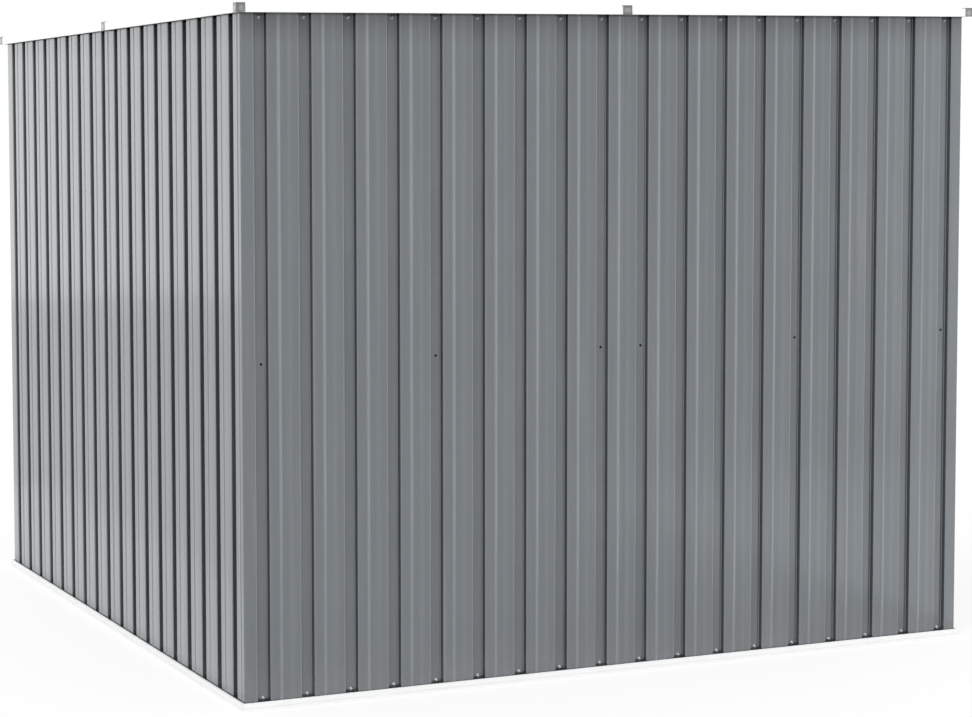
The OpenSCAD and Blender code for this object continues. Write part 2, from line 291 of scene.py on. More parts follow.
def group_streaks():
    """Faint marks that rain leaves down a wall, as a mask."""
    n, given, out = new_group(
        "Rain marks", [("Vector", "Vector", None), ("Amount", "Float", 0.3)], [("Mask", "Float")]
    )
    runs = n.noise(n.stretched(given.outputs["Vector"], (1.0, 1.0, 0.03)), 55.0, 3.0, 0.6)
    breaks = n.noise(given.outputs["Vector"], 2.4, 2.0, 0.5)
    both = n.math("MULTIPLY", n.remap(runs, 0.52, 0.74), n.remap(breaks, 0.40, 0.65))
    n.feed(out.inputs["Mask"], n.math("MULTIPLY", both, given.outputs["Amount"], clamp=True))
    return n.tree


def group_eaves_shade():
    """Painted shade under the roof's edge, with a darker painted shadow line right under it, as a mask by
    the distance below it.
    """
    n, given, out = new_group(
        "Eaves painted shade",
        [("Vector", "Vector", None), ("Reach", "Float", 0.06), ("Amount", "Float", 0.4)],
        [("Mask", "Float")],
    )
    place = n.add("ShaderNodeSeparateXYZ", {"Vector": given.outputs["Vector"]})
    rise = n.math("MULTIPLY", place.outputs["Y"], math.tan(SLOPE))
    below = n.math("SUBTRACT", n.math("ADD", rise, EAVES_Z), place.outputs["Z"])
    near = n.remap(below, 0.0, given.outputs["Reach"], 1.0, 0.0)
    on_wall = n.math("GREATER_THAN", below, -0.003)
    clouds = n.remap(n.noise(given.outputs["Vector"], 18.0, 4.0, 0.6), 0.3, 0.7, 0.8, 1.0)
    broad = n.math("MULTIPLY", n.math("POWER", near, 1.5), given.outputs["Amount"])
    # A darker painted shadow line in the first few millimetres under the trim
    under_trim_shadow = n.remap(below, 0.003, 0.008, 0.75, 0.0)
    total = n.math("MULTIPLY", n.math("MAXIMUM", broad, under_trim_shadow), clouds)
    n.feed(out.inputs["Mask"], n.math("MULTIPLY", total, on_wall, clamp=True))
    return n.tree


def group_shadow_line():
    """A faint painted shadow line at a height above the ground, as a mask."""
    n, given, out = new_group(
        "Painted shadow line",
        [
            ("Vector", "Vector", None),
            ("Height", "Float", 0.008),
            ("Width", "Float", 0.003),
            ("Amount", "Float", 0.2),
        ],
        [("Mask", "Float")],
    )
    height = n.add("ShaderNodeSeparateXYZ", {"Vector": given.outputs["Vector"]}).outputs["Z"]
    away = n.math("ABSOLUTE", n.math("SUBTRACT", height, given.outputs["Height"]))
    near = n.remap(n.math("DIVIDE", away, given.outputs["Width"]), 0.0, 1.0, 1.0, 0.0)
    clouds = n.remap(n.noise(given.outputs["Vector"], 11.0, 5.0, 0.65), 0.30, 0.60, 0.35, 1.0)
    n.feed(out.inputs["Mask"],
           n.math("MULTIPLY", n.math("MULTIPLY", near, clouds), given.outputs["Amount"], clamp=True))
    return n.tree


def group_edge_dirt():
    """Dirt along the edges of a small moulded piece, as a mask."""
    n, given, out = new_group(
        "Edge dirt",
        [("Vector", "Vector", None), ("Radius", "Float", 0.005), ("Amount", "Float", 0.5)],
        [("Mask", "Float")],
    )
    rounded = n.add("ShaderNodeBevel", {"Radius": given.outputs["Radius"]}, samples=6)
    true_normal = n.add("ShaderNodeNewGeometry").outputs["True Normal"]
    turned = n.add("ShaderNodeVectorMath", operation="DOT_PRODUCT")
    n.feed(turned.inputs[0], rounded.outputs["Normal"])
    n.feed(turned.inputs[1], true_normal)
    edge = n.remap(turned.outputs["Value"], 0.9995, 0.93)
    patches = n.remap(n.noise(given.outputs["Vector"], 60.0, 4.0, 0.6), 0.3, 0.7, 0.7, 1.0)
    n.feed(out.inputs["Mask"],
           n.math("MULTIPLY", n.math("MULTIPLY", edge, patches), given.outputs["Amount"], clamp=True))
    return n.tree


MOTTLE = group_mottle()
ROLLING_LINES = group_rolling_lines()
ORANGE_PEEL = group_orange_peel()
EDGE_WEAR = group_edge_wear()
GROUND_DUST = group_ground_dust()
RAIN_MARKS = group_streaks()
EAVES_SHADE = group_eaves_shade()
EDGE_DIRT = group_edge_dirt()
PAINTED_SHADOW_LINE = group_shadow_line()


# ---- Materials ----

BARE_STEEL = (0.42, 0.43, 0.44, 1.0)
# Dust and rain marks, and the painted shadow line along the base rail
DUST_AND_SHADE_TONE = (0.40, 0.385, 0.36, 1.0)
# Dirt on moulded edges, and the painted shade in the sheets' recesses
DIRT_AND_SHADE_GREY = (0.045, 0.046, 0.045, 1.0)
# Painted shadow under the roof's edge
EAVES_SHADOW_GREY = (0.012, 0.012, 0.012, 1.0)
# Lighter paint for the painted highlights along beads and folds
PAINTED_HIGHLIGHT = (0.236, 0.252, 0.264, 1.0)


def new_material(name):
    """A material with a Principled shader, as (the material, its helper, the shader, Object coordinates)."""
    material = bpy.data.materials.new(name)
    material.use_nodes = True
    material.node_tree.nodes.clear()
    n = Nodes(material.node_tree)
    place = n.add("ShaderNodeTexCoord").outputs["Object"]
    shader = n.add("ShaderNodeBsdfPrincipled")
    output = n.add("ShaderNodeOutputMaterial")
    n.feed(output.inputs["Surface"], shader.outputs["BSDF"])
    n.output = output
    return material, n, shader, place


def tinted(n, colour, factor):
    """A colour that a factor about 1 lightens or darkens."""
    scaled = n.add("ShaderNodeVectorMath", operation="SCALE")
    scaled.inputs[0].default_value = colour[:3]
    n.feed(scaled.inputs["Scale"], factor)
    return scaled.outputs[0]


def bumped(n, shader, height, distance, strength=1.0, after=None):
    """Feeds a height in parts of a distance to the shader's normal."""
    bump = n.add("ShaderNodeBump", {"Height": height, "Distance": distance, "Strength": strength})
    if after is not None:
        n.feed(bump.inputs["Normal"], after)
    n.feed(shader.inputs["Normal"], bump.outputs["Normal"])
    return bump.outputs["Normal"]


def sheet_paint(name, colour):
    """Grey enamel with a metallic sheen on rolled steel sheet."""
    material, n, shader, place = new_material(name)
    mottle = n.group(MOTTLE, {"Vector": place, "Broad": 0.035, "Fine": 0.030}).outputs["Factor"]
    lines = n.group(ROLLING_LINES, {"Vector": place})
    peel = n.group(ORANGE_PEEL, {"Vector": place, "Scale": 520.0}).outputs["Height"]
    wear = n.group(EDGE_WEAR, {"Vector": place, "Radius": 0.0014, "Amount": 0.35}).outputs["Mask"]
    dust = n.group(GROUND_DUST, {"Vector": place, "Reach": 0.16, "Amount": 0.22}).outputs["Mask"]
    rain = n.group(RAIN_MARKS, {"Vector": place, "Amount": 0.10}).outputs["Mask"]
    factor = n.math("MULTIPLY", mottle, n.remap(lines.outputs["Mask"], 0.0, 1.0, 0.97, 1.03))
    paint = tinted(n, colour, factor)
    # The recesses are painted darker as shade, and the beads and folds lighter as painted highlights
    recess_shade_clouds = n.remap(n.noise(place, 9.0, 4.0, 0.6), 0.3, 0.7, 0.30, 0.48)
    recess_shading = n.math("MULTIPLY", n.attribute("painted_recess_shade"), recess_shade_clouds)
    highlight_clouds = n.remap(n.noise(place, 22.0, 4.0, 0.6), 0.3, 0.7, 0.75, 1.0)
    highlighted = n.math("MULTIPLY", n.attribute("painted_highlight"), highlight_clouds)
    shaded_and_highlighted = n.mix_colour(highlighted, n.mix_colour(recess_shading, paint, DIRT_AND_SHADE_GREY), PAINTED_HIGHLIGHT)
    # Painted shade under the roof's edge, darker where it meets the painted recess shade
    eaves = n.group(EAVES_SHADE, {"Vector": place, "Reach": 0.08, "Amount": 0.40}).outputs["Mask"]
    eaves_shading = n.math("MULTIPLY", eaves, n.remap(n.attribute("painted_recess_shade"), 0.0, 0.6, 1.0, 1.9), clamp=True)
    marked = n.mix_colour(rain, n.mix_colour(eaves_shading, shaded_and_highlighted, EAVES_SHADOW_GREY), DUST_AND_SHADE_TONE)
    dusty = n.mix_colour(dust, marked, DUST_AND_SHADE_TONE)
    n.feed(shader.inputs["Base Color"], n.mix_colour(wear, dusty, BARE_STEEL))
    rough = n.remap(mottle, 0.95, 1.05, 0.18, 0.23)
    n.feed(shader.inputs["Roughness"], n.math("ADD", rough, n.math("MULTIPLY", dust, 0.6), clamp=True))
    n.feed(shader.inputs["Metallic"], n.remap(n.math("ADD", dust, rain), 0.0, 0.3, 0.76, 0.50))
    shader.inputs["IOR"].default_value = 1.5
    n.feed(shader.inputs["Coat Weight"], n.remap(dust, 0.0, 0.2, 0.42, 0.2))
    shader.inputs["Coat Roughness"].default_value = 0.08
    shader.inputs["Coat IOR"].default_value = 1.52
    waves = bumped(n, shader, lines.outputs["Height"], 0.00012, 0.6)
    bumped(n, shader, peel, 0.00003, 0.5, after=waves)
    return material


def trim_paint(name, colour):
    """White enamel on folded steel."""
    material, n, shader, place = new_material(name)
    mottle = n.group(MOTTLE, {"Vector": place, "Broad": 0.010, "Fine": 0.012}).outputs["Factor"]
    peel = n.group(ORANGE_PEEL, {"Vector": place, "Scale": 600.0}).outputs["Height"]
    wear = n.group(EDGE_WEAR, {"Vector": place, "Radius": 0.0009, "Amount": 0.35}).outputs["Mask"]
    dust = n.group(GROUND_DUST, {"Vector": place, "Reach": 0.006, "Amount": 0.10}).outputs["Mask"]
    # A painted shadow line along the base rail, a little above the ground
    shadow_line = n.group(PAINTED_SHADOW_LINE, {"Vector": place, "Height": 0.0075, "Width": 0.0035, "Amount": 0.22})
    dust_and_shadow_line = n.math("ADD", dust, shadow_line.outputs["Mask"], clamp=True)
    dusty = n.mix_colour(dust_and_shadow_line, tinted(n, colour, mottle), DUST_AND_SHADE_TONE)
    n.feed(shader.inputs["Base Color"], n.mix_colour(wear, dusty, BARE_STEEL))
    n.feed(shader.inputs["Roughness"], n.remap(mottle, 0.97, 1.03, 0.36, 0.46))
    shader.inputs["IOR"].default_value = 1.48
    bumped(n, shader, peel, 0.00003, 0.5)
    return material


def galvanised(name):
    """Zinc-coated steel with the flaky spangle of its coating."""
    material, n, shader, place = new_material(name)
    flakes = n.add("ShaderNodeTexVoronoi", {"Vector": place, "Scale": 130.0, "Randomness": 1.0})
    tone = n.add("ShaderNodeSeparateXYZ", {"Vector": flakes.outputs["Color"]}).outputs["X"]
    mottle = n.group(MOTTLE, {"Vector": place, "Broad": 0.04, "Fine": 0.03}).outputs["Factor"]
    wear = n.group(EDGE_WEAR, {"Vector": place, "Radius": 0.001, "Amount": 0.4}).outputs["Mask"]
    zinc = tinted(n, (0.52, 0.54, 0.55), n.math("MULTIPLY", mottle, n.remap(tone, 0.0, 1.0, 0.86, 1.12)))
    n.feed(shader.inputs["Base Color"], n.mix_colour(wear, zinc, (0.62, 0.63, 0.64, 1.0)))
    n.feed(shader.inputs["Roughness"], n.remap(tone, 0.0, 1.0, 0.30, 0.50))
    shader.inputs["Metallic"].default_value = 0.9
    bumped(n, shader, tone, 0.00002, 0.4)
    return material


def moulded_plastic(name, colour, roughness, metal=0.0, plated=0.0):
    """Moulded plastic with a fine grain and dirt along its edges. plated is how bright a plating it has."""
    material, n, shader, place = new_material(name)
    mottle = n.group(MOTTLE, {"Vector": place, "Broad": 0.03, "Fine": 0.05}).outputs["Factor"]
    grain = n.noise(place, 1500.0, 3.0, 0.6)
    dirt = n.group(EDGE_DIRT, {"Vector": place, "Radius": 0.010, "Amount": 0.75}).outputs["Mask"]
    n.feed(shader.inputs["Base Color"], n.mix_colour(dirt, tinted(n, colour, mottle), DIRT_AND_SHADE_GREY))
    n.feed(shader.inputs["Roughness"], n.remap(grain, 0.3, 0.7, roughness - 0.05, roughness + 0.08))
    shader.inputs["IOR"].default_value = 1.47
    shader.inputs["Metallic"].default_value = metal
    n.feed(shader.inputs["Coat Weight"], n.remap(dirt, 0.0, 0.6, plated, 0.3 * plated))
    shader.inputs["Coat Roughness"].default_value = 0.12
    shader.inputs["Coat IOR"].default_value = 2.9
    bumped(n, shader, grain, 0.00006, 0.6)
    return material


def zinc_plate(name, colour, roughness):
    """Bright zinc plate on screws and washers."""
    material, n, shader, place = new_material(name)
    mottle = n.group(MOTTLE, {"Vector": place, "Broad": 0.04, "Fine": 0.08}).outputs["Factor"]
    cloud = n.noise(place, 900.0, 2.0, 0.6)
    n.feed(shader.inputs["Base Color"], tinted(n, colour, mottle))
    n.feed(shader.inputs["Roughness"], n.remap(cloud, 0.3, 0.7, roughness - 0.06, roughness + 0.08))
    shader.inputs["Metallic"].default_value = 0.85
    bumped(n, shader, cloud, 0.00002, 0.4)
    return material


WALL_PAINT = sheet_paint("Grey sheet enamel", (0.162, 0.177, 0.189))
WHITE_PAINT = trim_paint("White enamel", (0.86, 0.865, 0.865))
ZINC = galvanised("Galvanised steel")
CAP_PLASTIC = moulded_plastic("Plated cap plastic", (0.145, 0.147, 0.15), 0.26, 0.9, 1.0)
HANDLE_PLASTIC = moulded_plastic("Dark handle plastic", (0.035, 0.037, 0.04), 0.40)
SCREW_ZINC = zinc_plate("Screw zinc", (0.47, 0.48, 0.49), 0.22)
# The high screws' zinc: the screw zinc painted darker, as the trim's shade on them
SHADED_SCREW_ZINC = zinc_plate("Screw zinc painted shaded", (0.31, 0.315, 0.32), 0.38)
RIVET_ZINC = zinc_plate("Blackened rivet", (0.012, 0.012, 0.013), 0.50)

SLOT_MATERIALS = {
    "wall_sheet": WALL_PAINT,
    "white_trim": WHITE_PAINT,
    "frame_steel": ZINC,
    "cap_plastic": CAP_PLASTIC,
    "handle_plastic": HANDLE_PLASTIC,
}


# ---- Pieces ----


def finish_piece(name, bm, material, nodes=(), smooth=True):
    """Makes a piece from a bmesh that is already in place, and hides the nodes it stands for."""
    mesh = bpy.data.meshes.new(name)
    bm.to_mesh(mesh)
    bm.free()
    mesh.materials.append(material)
    piece = bpy.data.objects.new(name, mesh)
    SCENE.collection.objects.link(piece)
    if smooth:
        mesh.shade_smooth()
        keep_flats = piece.modifiers.new("Flat faces", "WEIGHTED_NORMAL")
        keep_flats.keep_sharp = True
        keep_flats.weight = 80
    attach(piece, "root")
    if nodes:
        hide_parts(*nodes)
    return piece


def rib_count(width, step):
    room = width - 2 * MIN_MARGIN - RECESS_W + RIB_PITCH
    return step * math.floor(room / (step * RIB_PITCH) + 1e-9)


def rib_places(width, step):
    """Left edges of the recesses of one sheet, or of a pair of sheets that meet in the middle."""
    count = rib_count(width, step)
    spread = (count - 1) * RIB_PITCH + RECESS_W
    return [i * RIB_PITCH - spread / 2 for i in range(count)]


def sheet_profile(ribs, start, end, end_clear=0.002):
    """The outer line of a ribbed sheet as (x, depth), and the x of its beads' corners."""
    line, beads = [(start, 0.0)], []
    for x in ribs:
        if x <= start or x + RECESS_W >= end:
            continue
        if x + SWELL_X[0] > max(start, line[-1][0]):
            line += zip([x + at for at in SWELL_X], (0.0, -SWELL_H, 0.0))
        # These points mark where the painted highlight by a recess ends and where its painted shade thins
        # out
        line += [
            (x - HIGHLIGHT_REACH, 0.0),
            (x, 0.0),
            (x + SLOPE_RUN, RIB_DEPTH),
            (x + SLOPE_RUN + SHADE_REACH, RIB_DEPTH),
            (x + RECESS_W - SLOPE_RUN - SHADE_REACH, RIB_DEPTH),
            (x + RECESS_W - SLOPE_RUN, RIB_DEPTH),
            (x + RECESS_W, 0.0),
            (x + RECESS_W + HIGHLIGHT_REACH, 0.0),
        ]
        middle = x + RECESS_W + BEAD_AT
        if middle + BEAD_W / 2 < end - end_clear:
            corners = (middle - BEAD_W / 2, middle - BEAD_W / 6, middle + BEAD_W / 6, middle + BEAD_W / 2)
            line += zip(corners, (0.0, -BEAD_RISE, -BEAD_RISE, 0.0))
            beads += corners
    line.append((end, 0.0))
    return line, beads


def risen_sheet(line, bottom, top):
    """A sheet's outer face: the line at the bottom, extruded up to the top, facing outwards."""
    bm = bmesh.new()
    low = [bm.verts.new((x, depth, bottom)) for x, depth in line]
    edges = [bm.edges.new(pair) for pair in zip(low, low[1:])]
    risen = bmesh.ops.extrude_edge_only(bm, edges=edges)["geom"]
    for vert in risen:
        if isinstance(vert, bmesh.types.BMVert):
            vert.co.z = top
    bm.normal_update()
    if sum(face.normal.y * face.calc_area() for face in bm.faces) > 0:
        bmesh.ops.reverse_faces(bm, faces=bm.faces)
    return bm


def bend_folds(bm, radius, wanted):
    """Rounds the upright folds for which wanted(x) holds."""
    folds = [e for e in bm.edges if len(e.link_faces) == 2 and wanted(e.verts[0].co.x)]
    if folds:
        bmesh.ops.bevel(
            bm,
            geom=folds,
            offset=radius,
            offset_type="OFFSET",
            affect="EDGES",
            segments=3,
            profile=0.5,
            clamp_overlap=True,
            material=-1,
        )


def close_to(values):
    return lambda x: any(abs(x - value) < 1e-6 for value in values)


def recess_folds(line, beads):
    """The x of the folds beside and inside the recesses of a sheet's line."""
    folds = set()
    for before, corner, after in zip(line, line[1:], line[2:]):
        steep = abs(corner[1] - before[1]) == RIB_DEPTH or abs(after[1] - corner[1]) == RIB_DEPTH
        if steep and corner[0] not in beads:
            folds.add(corner[0])
    return folds


def mark_painted_light(bm, ribs):
    """Notes on each vertex of a sheet how much painted shade lies there in the recesses, and how bright a
    painted highlight a bead or fold has.
    """
    layer = bm.verts.layers.float.new("painted_recess_shade")
    painted_highlight = bm.verts.layers.float.new("painted_highlight")
    for vert in bm.verts:
        # Painted highlight: the beads lighter towards their tops
        vert[painted_highlight] = min(max(-vert.co.y / BEAD_RISE * 1.25, 0.0), 1.0)
        # Painted highlight along the crown's folds beside each recess, stronger on the left one
        if abs(vert.co.y) < FOLD_R / 2:
            for x in ribs:
                if abs(vert.co.x - x) < 1.2 * FOLD_R:
                    vert[painted_highlight] = HIGHLIGHT_LEFT
                elif abs(vert.co.x - x - RECESS_W) < 1.2 * FOLD_R:
                    vert[painted_highlight] = HIGHLIGHT_RIGHT
        # Painted shade in the recesses: darkest on their floors by the inner corners, less on the slopes
        for x in ribs:
            inside = min(vert.co.x - x, x + RECESS_W - vert.co.x)
            if inside > -SHEET_T:
                thinned = min(max((inside - SLOPE_RUN - SHEET_T) / SHADE_REACH, 0.0), 1.0)
                depth = min(max(vert.co.y / RIB_DEPTH, 0.0), 1.0)
                held = 1.0 if depth > 0.97 else SHADE_SLOPE
                vert[layer] = held * depth * (1.0 - (1.0 - SHADE_REST) * thinned)


def mitred_end(bm, at, outwards):
    """Cuts a sheet's turned end along the line between two walls."""
    bmesh.ops.bisect_plane(
        bm,
        geom=bm.verts[:] + bm.edges[:] + bm.faces[:],
        plane_co=(at, 0, 0),
        plane_no=(outwards, 1, 0),
        clear_outer=True,
    )


def thicken(bm, thickness):
    """Gives the sheet its thickness, on its inner side."""
    faces = bm.faces[:]
    bmesh.ops.solidify(bm, geom=faces, thickness=thickness)
    bmesh.ops.recalc_face_normals(bm, faces=bm.faces)


def ribbed_sheet(line, beads, bottom, top, turned=()):
    """A ribbed sheet in its wall's own axes. turned gives the ends that bend round a corner, -1 or 1."""
    first, last = line[0][0], line[-1][0]
    line = list(line)
    if -1 in turned:
        line.insert(0, (first, 2 * CORNER_R))
    if 1 in turned:
        line.append((last, 2 * CORNER_R))
    bm = risen_sheet(line, bottom, top)
    corners = [x for x, end in ((first, -1), (last, 1)) if end in turned]
    bend_folds(bm, BEAD_R, close_to(beads))
    bend_folds(bm, CORNER_R, close_to(corners))
    bend_folds(bm, FOLD_R, close_to(recess_folds(line, beads)))
    for x, end in ((first, -1), (last, 1)):
        if end in turned:
            mitred_end(bm, x, end)
    return bm


def slope_top(bm, matrix, top):
    """Lets a wall sheet end just under the sloping roof sheets."""
    for vert in bm.verts:
        if abs(vert.co.z - top) < 1e-6:
            vert.co.z = roof_under((matrix @ vert.co).y) - FIT / math.cos(SLOPE)


def wall_sheet(node, side, ribs, line, beads, turned=(), shift=(0.0, 0.0)):
    """One wall sheet, from the base rail up to the roof."""
    matrix = wall_matrix(side) @ Matrix.Translation((*shift, 0))
    bottom = FRAME_T + FIT
    bm = ribbed_sheet(line, beads, bottom, UNCUT_TOP, turned)
    slope_top(bm, matrix, UNCUT_TOP)
    thicken(bm, SHEET_T)
    mark_painted_light(bm, ribs)
    bmesh.ops.transform(bm, matrix=matrix, verts=bm.verts)
    return finish_piece(node + "_sheet", bm, WALL_PAINT, [node])


def build_walls():
    for side, low_node, high_node in (
        (RIGHT, "right_panel_front", "right_panel_back"),
        (BACK, "back_panel_right", "back_panel_left"),
        (LEFT, "left_panel_back", "left_panel_front"),
    ):
        width = WALL_W if side % 2 == 0 else WALL_D
        ribs = rib_places(width, 2)
        wall_sheet(low_node, side, ribs, *sheet_profile(ribs, -width / 2, -FIT / 2), turned=(-1,))
        wall_sheet(high_node, side, ribs, *sheet_profile(ribs, FIT / 2, width / 2), turned=(1,))
    width = (WALL_W - DOOR_OPEN_W) / 2
    ribs = rib_places(width, 1)
    for node, sign in (("front_panel_left", -1), ("front_panel_right", 1)):
        line, beads = sheet_profile(ribs, -width / 2, width / 2, JAMB_W + FIT)
        wall_sheet(node, FRONT, ribs, line, beads, (sign,), (sign * (DOOR_OPEN_W + width) / 2, 0.0))


def build_doors():
    ribs = rib_places(DOOR_W, 1)
    for node, sign in (("door_left", -1), ("door_right", 1)):
        line, beads = sheet_profile(ribs, -DOOR_W / 2, DOOR_W / 2, 2 * HANDLE_W)
        low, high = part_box(node)
        edge = DOOR_W / 2
        line = [(-edge, RIB_DEPTH)] + line + [(edge, RIB_DEPTH)]
        bm = risen_sheet(line, low.z, high.z)
        bend_folds(bm, BEAD_R, close_to(beads))
        bend_folds(bm, FOLD_R, close_to(recess_folds(line, beads)))
        thicken(bm, SHEET_T)
        mark_painted_light(bm, ribs)
        matrix = wall_matrix(FRONT) @ Matrix.Translation((sign * (DOOR_W + DOOR_GAP) / 2, DOOR_BACK, 0))
        bmesh.ops.transform(bm, matrix=matrix, verts=bm.verts)
        finish_piece(node + "_leaf", bm, WALL_PAINT, [node])


def build_roof_sheets():
    width = ROOF_W - 2 * (TRIM_T + FIT)
    length = ROOF_L - 2 * (TRIM_T + FIT)
    ribs = rib_places(width, 2)
    # The profile's depth becomes the way down, and its height the way up the slope
    lie_down = Matrix(((1, 0, 0, 0), (0, 0, 1, 0), (0, -1, 0, -CROWN_DOWN), (0, 0, 0, 1)))
    for node, start, end in (
        ("roof_panel_left", -width / 2, -FIT / 2),
        ("roof_panel_right", FIT / 2, width / 2),
    ):
        line, beads = sheet_profile(ribs, start, end)
        bm = ribbed_sheet(line, beads, -length / 2, length / 2)
        thicken(bm, SHEET_T)
        mark_painted_light(bm, ribs)
        bmesh.ops.transform(bm, matrix=roof_matrix() @ lie_down, verts=bm.verts)
        finish_piece(node + "_sheet", bm, WALL_PAINT, [node])


def softened(node, radius, slot, segments=2, angle=25.0):
    """A folded or moulded piece whose edges are rounded, in place of its plain solid."""
    bm = bmesh.new()
    bm.from_mesh(NODES[node].data)
    bmesh.ops.remove_doubles(bm, verts=bm.verts, dist=1e-6)
    bmesh.ops.dissolve_limit(
        bm, angle_limit=math.radians(0.6), verts=bm.verts, edges=bm.edges, use_dissolve_boundaries=False
    )
    edges = [e for e in bm.edges if len(e.link_faces) == 2 and e.calc_face_angle() > math.radians(angle)]
    bmesh.ops.bevel(
        bm,
        geom=edges,
        offset=radius,
        offset_type="OFFSET",
        affect="EDGES",
        segments=segments,
        profile=0.5,
        clamp_overlap=True,
        material=-1,
    )
    return finish_piece(node + "_formed", bm, SLOT_MATERIALS[slot], [node])


def build_folded_pieces():
    radii = {
        "base_rail": (0.0005, "white_trim"),
        "roof_trim": (0.0004, "white_trim"),
        "door_header": (0.0004, "white_trim"),
        "door_jamb": (0.0004, "white_trim"),
        "corner_post": (0.0005, "frame_steel"),
        "mid_rail": (0.0005, "frame_steel"),
        "top_rail": (0.0005, "frame_steel"),
        "roof_beam": (0.0005, "frame_steel"),
        "corner_cap": (0.0004, "cap_plastic"),
        "joint_cover": (0.0004, "cap_plastic"),
        "door_handle": (0.004, "handle_plastic"),
    }
    for node in sorted(NODES):
        for kind, (radius, slot) in radii.items():
            if node.startswith(kind):
                softened(node, radius, slot, 4 if kind == "door_handle" else 2)


# ---- Screws and rivets ----

HEAD_R = 0.0038
HEAD_H = 0.0026
WASHER_R = 0.0052
WASHER_H = 0.0008
RIVET_R = 0.0032


def screw_mesh():
    """A domed screw head on its washer, standing on z = 0."""
    bm = bmesh.new()
    bmesh.ops.create_circle(bm, cap_ends=True, radius=WASHER_R, segments=16)
    rings = (
        (WASHER_R, WASHER_H),
        (HEAD_R, WASHER_H),
        (HEAD_R, WASHER_H + 0.35 * HEAD_H),
        (0.86 * HEAD_R, WASHER_H + 0.75 * HEAD_H),
        (0.52 * HEAD_R, WASHER_H + 0.97 * HEAD_H),
    )
    face = max(bm.faces, key=lambda f: f.calc_area())
    for radius, height in rings:
        made = bmesh.ops.extrude_discrete_faces(bm, faces=[face])["faces"][0]
        face = made
        for vert in face.verts:
            flat = Vector((vert.co.x, vert.co.y, 0)).normalized() * radius
            vert.co = (flat.x, flat.y, height)
    bmesh.ops.remove_doubles(bm, verts=bm.verts, dist=1e-7)
    bmesh.ops.recalc_face_normals(bm, faces=bm.faces)
    return bm


def rivet_mesh():
    """A small domed rivet head, standing on z = 0."""
    bm = bmesh.new()
    bmesh.ops.create_uvsphere(bm, u_segments=12, v_segments=8, radius=RIVET_R)
    bmesh.ops.bisect_plane(
        bm,
        geom=bm.verts[:] + bm.edges[:] + bm.faces[:],
        plane_co=(0, 0, 0),
        plane_no=(0, 0, -1),
        clear_outer=True,
    )
    bmesh.ops.holes_fill(bm, edges=[e for e in bm.edges if e.is_boundary])
    bmesh.ops.scale(bm, vec=(1, 1, 0.55), verts=bm.verts)
    bmesh.ops.recalc_face_normals(bm, faces=bm.faces)
    return bm


def scattered(name, pattern, places, material):
    """One piece with a copy of the pattern at each place."""
    single = bpy.data.meshes.new(name + "_pattern")
    pattern.to_mesh(single)
    pattern.free()
    bm = bmesh.new()
    for place in places:
        known = set(bm.verts)
        bm.from_mesh(single)
        bmesh.ops.transform(bm, matrix=place, verts=[v for v in bm.verts if v not in known])
    bpy.data.meshes.remove(single)
    return finish_piece(name, bm, material)


def facing_out(turn=0.0):
    """Turns a fastener that stands on z = 0 to face out of a wall."""
    return Matrix.Rotation(math.radians(90), 4, "X") @ Matrix.Rotation(turn, 4, "Z")


def wall_ribs(side):
    """Middles of the recesses of a wall, as (x, depth) in the wall's own axes."""
    if side != FRONT:
        width = WALL_W if side % 2 == 0 else WALL_D
        return [(x + RECESS_W / 2, RIB_DEPTH) for x in rib_places(width, 2)]
    width = (WALL_W - DOOR_OPEN_W) / 2
    middles = [x + RECESS_W / 2 for x in rib_places(width, 1)]
    return [(sign * (DOOR_OPEN_W + width) / 2 + x, RIB_DEPTH) for sign in (-1, 1) for x in middles]


# Screws stand a little off the middle of a recess, over the base rail and under the roof's edge
SCREW_OFF = 0.0015
SCREW_LOW_Z = BASE_LIP_H + 0.0045
SCREW_DOWN = 0.0085
# Rivets into the mid rails, at these recesses of a whole wall: both ends and the middle of each sheet
RIVET_Z = MID_RAIL_Z + 0.0055
RIVET_RIBS = (0, 4, 8, 9, 13, 17)
ROOF_SCREW_IN = 0.034


def build_screws():
    names = {FRONT: "front", RIGHT: "right", BACK: "back", LEFT: "left"}
    for side, name in names.items():
        matrix = wall_matrix(side)
        ribs = wall_ribs(side)
        low, high, rivets = [], [], []
        for i, (x, depth) in enumerate(ribs):
            at = x + SCREW_OFF
            low.append(matrix @ Matrix.Translation((at, depth, SCREW_LOW_Z)) @ facing_out(0.4 * i))
            y = (matrix @ Vector((at, depth, 0))).y
            edge = EAVES_Z + y * math.tan(SLOPE)
            high.append(matrix @ Matrix.Translation((at, depth, edge - SCREW_DOWN)) @ facing_out(0.7 * i))
            if side != FRONT and i in RIVET_RIBS:
                rivets.append(matrix @ Matrix.Translation((at, depth, RIVET_Z)) @ facing_out())
        scattered(name + "_screws_low", screw_mesh(), low, SCREW_ZINC)
        # The high screws, under the roof's edge, take the darker zinc as painted shade
        scattered(name + "_screws_high", screw_mesh(), high, SHADED_SCREW_ZINC)
        if rivets:
            scattered(name + "_rivets", rivet_mesh(), rivets, RIVET_ZINC)


def build_roof_screws():
    """Screws in the roof's recesses, into the top rails and the beam."""
    reach = ROOF_L / 2 - ROOF_SCREW_IN
    places = []
    for i, x in enumerate(rib_places(ROOF_W - 2 * (TRIM_T + FIT), 2)):
        for j, y in enumerate((-reach, 0.0, reach)):
            at = Matrix.Translation((x + RECESS_W / 2, y, -CROWN_DOWN - RIB_DEPTH))
            places.append(roof_matrix() @ at @ Matrix.Rotation(0.5 * i + j, 4, "Z"))
    scattered("roof_screws", screw_mesh(), places, SCREW_ZINC)


# ---- Room: floor, light and camera ----


# How much of the floor's look is plain white, over its own shading with the shed's shadow
FLOOR_WHITE = 0.75


def seen_directly(n):
    """1 for rays from the camera, off a glossy surface or through a clear one, and 0 for other light."""
    path = n.add("ShaderNodeLightPath")
    shows = n.math("MAXIMUM", path.outputs["Is Camera Ray"], path.outputs["Is Glossy Ray"])
    return n.math("MAXIMUM", shows, path.outputs["Is Transmission Ray"])


